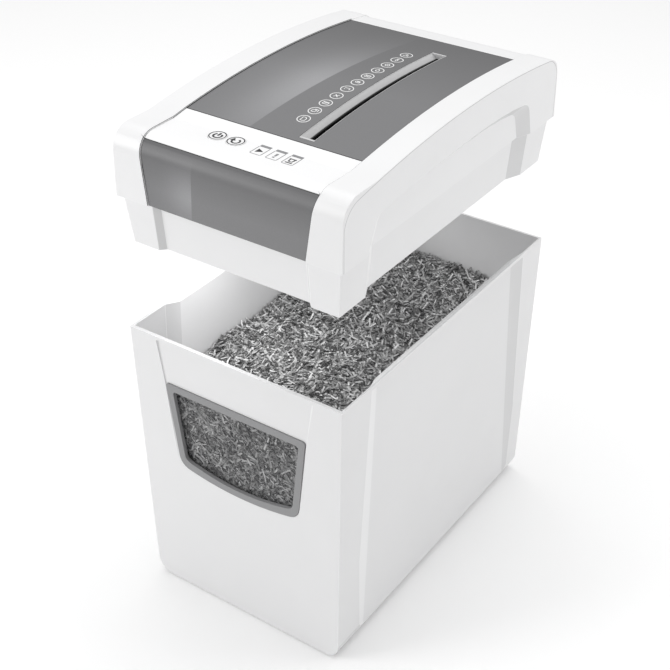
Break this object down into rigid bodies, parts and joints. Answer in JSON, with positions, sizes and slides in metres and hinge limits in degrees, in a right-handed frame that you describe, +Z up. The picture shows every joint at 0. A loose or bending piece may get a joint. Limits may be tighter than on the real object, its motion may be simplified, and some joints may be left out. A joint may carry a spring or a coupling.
{
  "type": "paper shredder",
  "caption": "Cross-cut paper shredder with a windowed bin and a lift-off cutting head, an offset feed slot, two round keys and three indicators.",
  "frame": {"origin": "middle of the bin's base, on the surface it stands on", "axes": "+X right, +Y to the back (the window faces -Y), +Z up"},
  "size_m": [0.252, 0.387, 0.5455],
  "materials": {
    "white_shell": "satin",
    "dark_panel": "satin",
    "throat_grey": "satin",
    "bezel_grey": "satin",
    "smoked_pane": "gloss",
    "shredded_paper": "matte",
    "light_pipe": "satin",
    "circuit_board": "satin",
    "black_plastic": "matte",
    "component_blue": "gloss",
    "coil_tape": "satin",
    "led_lens": "gloss",
    "zinc_plate": "satin",
    "bright_steel": "satin",
    "screw_steel": "satin",
    "tool_steel": "satin",
    "gear_steel": "satin",
    "gear_nylon": "satin",
    "bush_bronze": "satin",
    "motor_steel": "satin",
    "rotor_core": "satin",
    "pinion_brass": "polished",
    "rubber_black": "matte",
    "plunger_orange": "satin"
  },
  "bodies": {
    "bin": {"bin_tub": "white_shell", "window_bezel": "bezel_grey", "window_pane": "smoked_pane", "shred_heap": "shredded_paper"},
    "head": {"top_cover": "white_shell", "top_panel": "dark_panel", "front_panel": "dark_panel", "control_panel": "white_shell", "feed_throat": "throat_grey", "lower_housing": "white_shell", "indicator_light_pipes": "light_pipe", "control_board": "circuit_board", "push_switches": "black_plastic", "indicator_leds": "led_lens", "board_capacitor": "component_blue", "board_relay": "component_blue", "board_transformer": "coil_tape", "front_frame_plate": "zinc_plate", "rear_frame_plate": "zinc_plate", "frame_tie_rods": "bright_steel", "frame_dampers": "rubber_black", "frame_screws": "screw_steel", "housing_screws": "screw_steel", "gear_axles": "bright_steel", "gear_plate": "zinc_plate", "gear_plate_spacers": "bright_steel", "shaft_bushes": "bush_bronze", "left_stripper_comb": "black_plastic", "right_stripper_comb": "black_plastic", "motor_can": "motor_steel", "motor_end_bell": "motor_steel", "motor_bushes": "bush_bronze", "motor_screws": "screw_steel", "thermal_cutout": "black_plastic", "paper_sensor_pin": "bright_steel", "paper_sensor_bracket": "black_plastic", "paper_sensor_switch": "black_plastic", "interlock_switch": "black_plastic", "cord_gland": "rubber_black"},
    "power_key": {"power_button": "white_shell"},
    "reverse_key": {"reverse_button": "white_shell"},
    "left_cutter_shaft": {"left_cutter": "tool_steel", "left_cutter_gear": "gear_steel", "main_drive_gear": "gear_steel"},
    "right_cutter_shaft": {"right_cutter": "tool_steel", "right_cutter_gear": "gear_steel"},
    "second_reduction": {"second_reduction_gear": "gear_nylon"},
    "first_reduction": {"first_reduction_gear": "gear_nylon"},
    "motor_armature": {"motor_rotor": "rotor_core", "motor_pinion": "pinion_brass", "motor_fan": "gear_nylon"},
    "paper_lever": {"paper_sensor_lever": "black_plastic"},
    "interlock_pin": {"interlock_plunger": "plunger_orange"}
  },
  "joints": [
    {"name": "head_lift", "type": "slide", "parent": "bin", "child": "head", "axis": [0, 0, 1], "range_m": [-0.1437, 0.056]},
    {"name": "power_press", "type": "slide", "parent": "head", "child": "power_key", "axis": [0, 0, -1], "range_m": [0, 0.0009], "stiffness_N_per_m": 800},
    {"name": "reverse_press", "type": "slide", "parent": "head", "child": "reverse_key", "axis": [0, 0, -1], "range_m": [0, 0.0009], "stiffness_N_per_m": 800},
    {"name": "motor_spin", "type": "hinge", "parent": "head", "child": "motor_armature", "pos_m": [-0.06178, 0, 0.47208], "axis": [0, 1, 0], "continuous": true},
    {"name": "first_reduction_spin", "type": "hinge", "parent": "head", "child": "first_reduction", "pos_m": [-0.0306, 0, 0.45408], "axis": [0, 1, 0], "continuous": true},
    {"name": "second_reduction_spin", "type": "hinge", "parent": "head", "child": "second_reduction", "pos_m": [-0.01777, 0, 0.48932], "axis": [0, 1, 0], "continuous": true},
    {"name": "left_cutter_spin", "type": "hinge", "parent": "head", "child": "left_cutter_shaft", "pos_m": [0.017, 0, 0.48], "axis": [0, 1, 0], "continuous": true},
    {"name": "right_cutter_spin", "type": "hinge", "parent": "head", "child": "right_cutter_shaft", "pos_m": [0.051, 0, 0.48], "axis": [0, 1, 0], "continuous": true},
    {"name": "paper_lever_swing", "type": "hinge", "parent": "head", "child": "paper_lever", "pos_m": [0.0485, 0, 0.515], "axis": [0, 1, 0], "range_deg": [-38, 0], "stiffness_Nm_per_rad": 0.002, "springref_deg": 20.05},
    {"name": "interlock_travel", "type": "slide", "parent": "head", "child": "interlock_pin", "axis": [0, 0, 1], "range_m": [0, 0.003], "stiffness_N_per_m": 250, "springref_m": -0.002}
  ],
  "couplings": [
    {"joint": "first_reduction_spin", "follows": "motor_spin", "ratio": -0.2},
    {"joint": "second_reduction_spin", "follows": "motor_spin", "ratio": 0.05},
    {"joint": "left_cutter_spin", "follows": "motor_spin", "ratio": -0.016667},
    {"joint": "right_cutter_spin", "follows": "motor_spin", "ratio": 0.016667}
  ]
}
